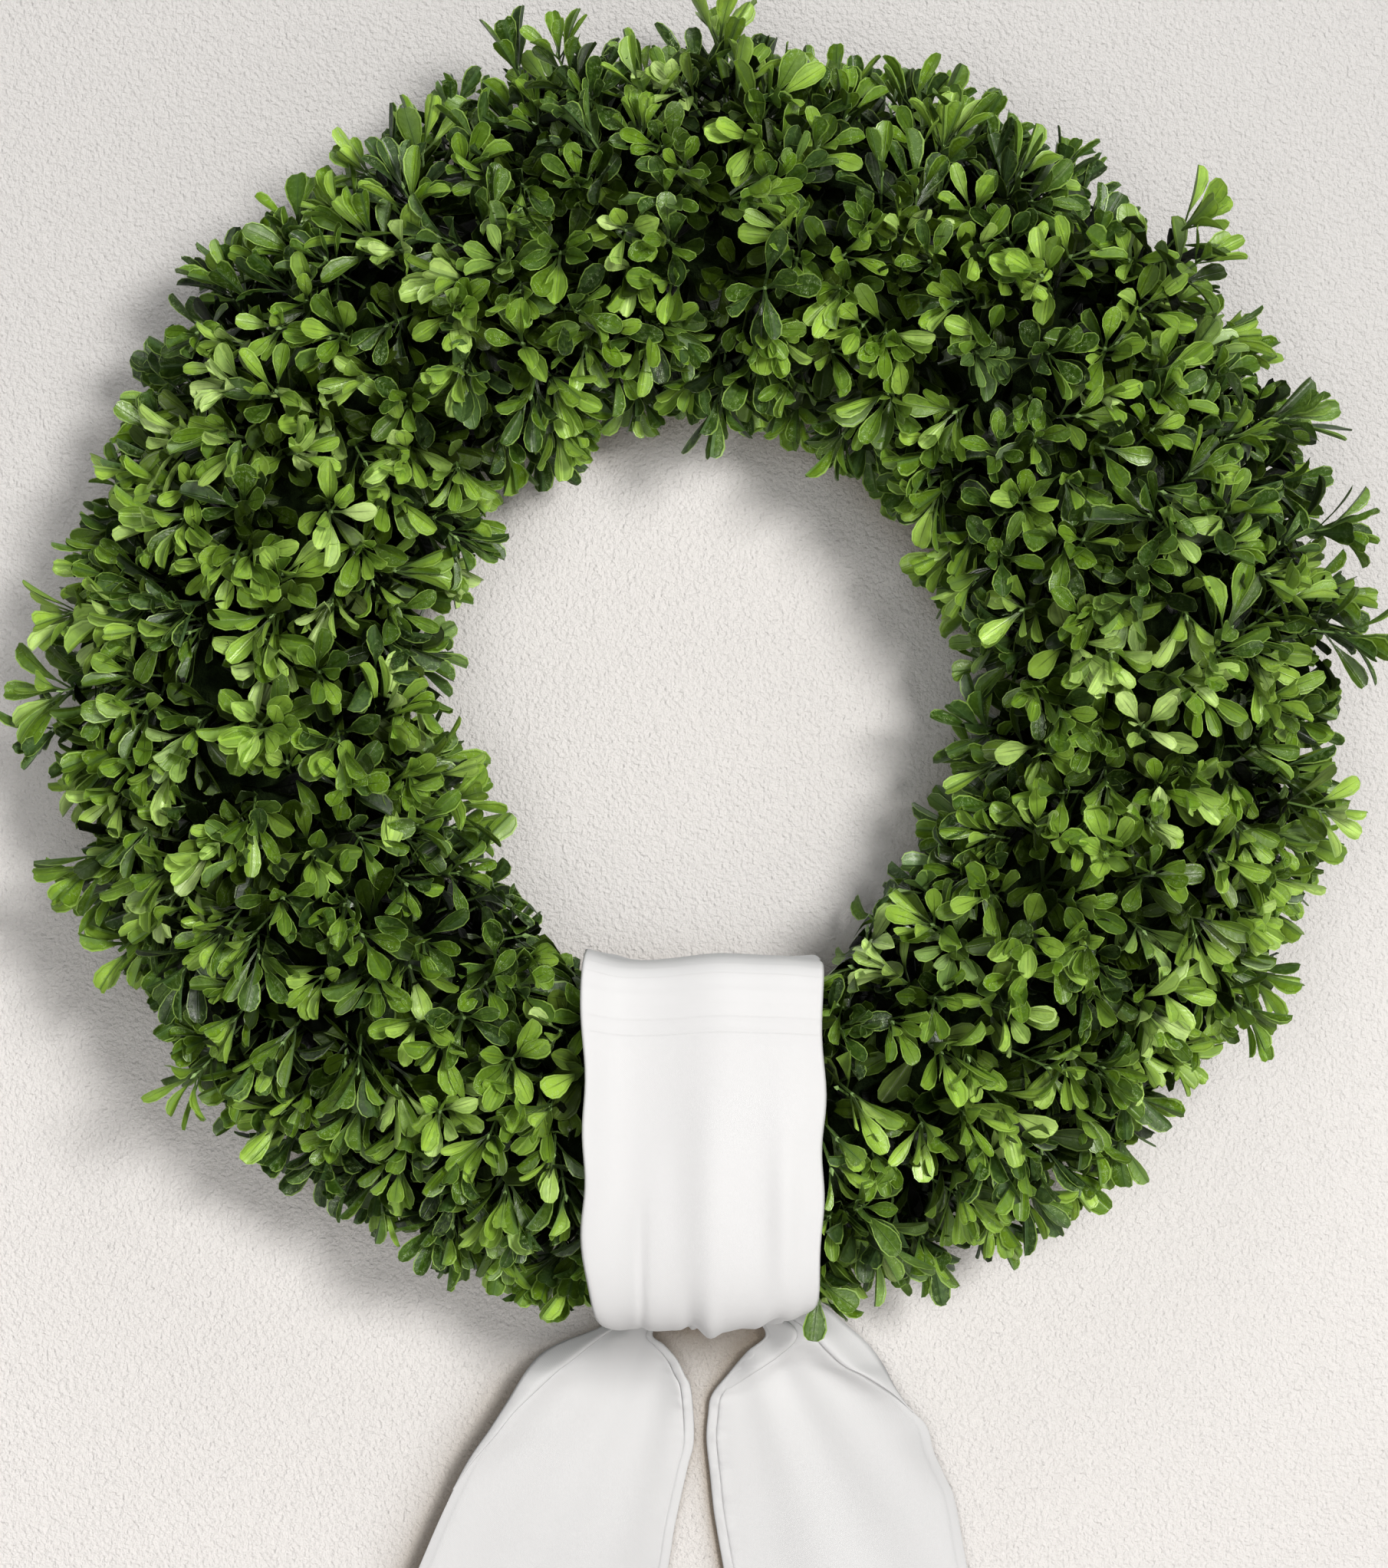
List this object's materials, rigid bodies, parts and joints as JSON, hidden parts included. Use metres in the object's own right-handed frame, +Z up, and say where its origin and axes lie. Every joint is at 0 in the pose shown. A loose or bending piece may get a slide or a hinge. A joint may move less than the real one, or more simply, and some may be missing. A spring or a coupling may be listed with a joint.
{
  "type": "boxwood wreath",
  "caption": "Full round boxwood wreath on a wire frame that hangs flat on a wall, with a wide cloth sash round its foot whose tails hang behind.",
  "frame": {"origin": "where a nail carries the wire frame: the underside of the top of the larger back ring", "axes": "the wreath hangs upright against a wall: +Z up, +Y into the wall, its face towards -Y, +X to its right as seen from the front"},
  "size_m": [0.6243, 0.1391, 0.7557],
  "materials": {
    "boxwood": "semi-gloss evergreen leaves, bright yellow-green to deep green, on thin green stems",
    "frame_wire": "dark green enamelled steel wire",
    "binding_wire": "thin green florist's wire",
    "sash_cloth": "white satin-like cloth with a narrow stitched hem"
  },
  "bodies": {
    "root": {"wire_frame": "frame_wire", "binding_wire": "binding_wire", "bunch_01": "boxwood", "bunch_02": "boxwood", "bunch_03": "boxwood", "bunch_04": "boxwood", "bunch_05": "boxwood", "bunch_06": "boxwood", "bunch_07": "boxwood", "bunch_08": "boxwood", "bunch_09": "boxwood", "bunch_10": "boxwood", "bunch_11": "boxwood", "bunch_12": "boxwood", "bunch_13": "boxwood", "bunch_14": "boxwood", "bunch_15": "boxwood", "bunch_16": "boxwood", "bunch_17": "boxwood", "bunch_18": "boxwood", "sash": "sash_cloth"}
  },
  "joints": []
}
